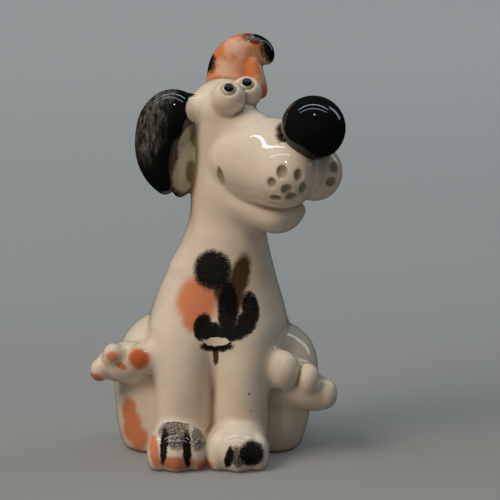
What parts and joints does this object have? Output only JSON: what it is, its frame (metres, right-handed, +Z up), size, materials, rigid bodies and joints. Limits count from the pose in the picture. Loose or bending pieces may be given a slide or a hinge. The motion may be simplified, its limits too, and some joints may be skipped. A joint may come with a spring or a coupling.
{
  "type": "ceramic dog figurine",
  "caption": "Small sitting spotted dog figurine in glossy glazed clay, head turned, with a big black ball nose.",
  "frame": {"origin": "on the ground, on the figurine's flat base, under the middle of the chest", "axes": "+Z up; -Y is the way the seated body faces; +X is the dog's own left, the side that the head turns to"},
  "size_m": [0.054, 0.0483, 0.088],
  "materials": {
    "white_glaze": "gloss",
    "black_glaze": "gloss",
    "mottled_black_glaze": "gloss",
    "orange_glaze": "gloss"
  },
  "bodies": {
    "root": {"ear_left": "orange_glaze", "ear_right": "mottled_black_glaze", "eye_left": "white_glaze", "eye_right": "white_glaze", "front_leg_left": "white_glaze", "front_leg_right": "white_glaze", "front_paw_left": "white_glaze", "front_paw_right": "white_glaze", "head_shell": "white_glaze", "hind_foot_left": "white_glaze", "hind_foot_right": "white_glaze", "hind_leg_left": "white_glaze", "hind_leg_right": "white_glaze", "hind_toe_left_inner": "white_glaze", "hind_toe_left_middle": "white_glaze", "hind_toe_left_outer": "white_glaze", "hind_toe_right_inner": "white_glaze", "hind_toe_right_middle": "white_glaze", "hind_toe_right_outer": "white_glaze", "jowl_left": "white_glaze", "jowl_right": "white_glaze", "lower_jaw": "white_glaze", "muzzle": "white_glaze", "nose_ball": "black_glaze", "pupil_left": "black_glaze", "pupil_right": "black_glaze", "rump": "white_glaze", "tail": "white_glaze", "torso_shell": "white_glaze"}
  },
  "joints": []
}
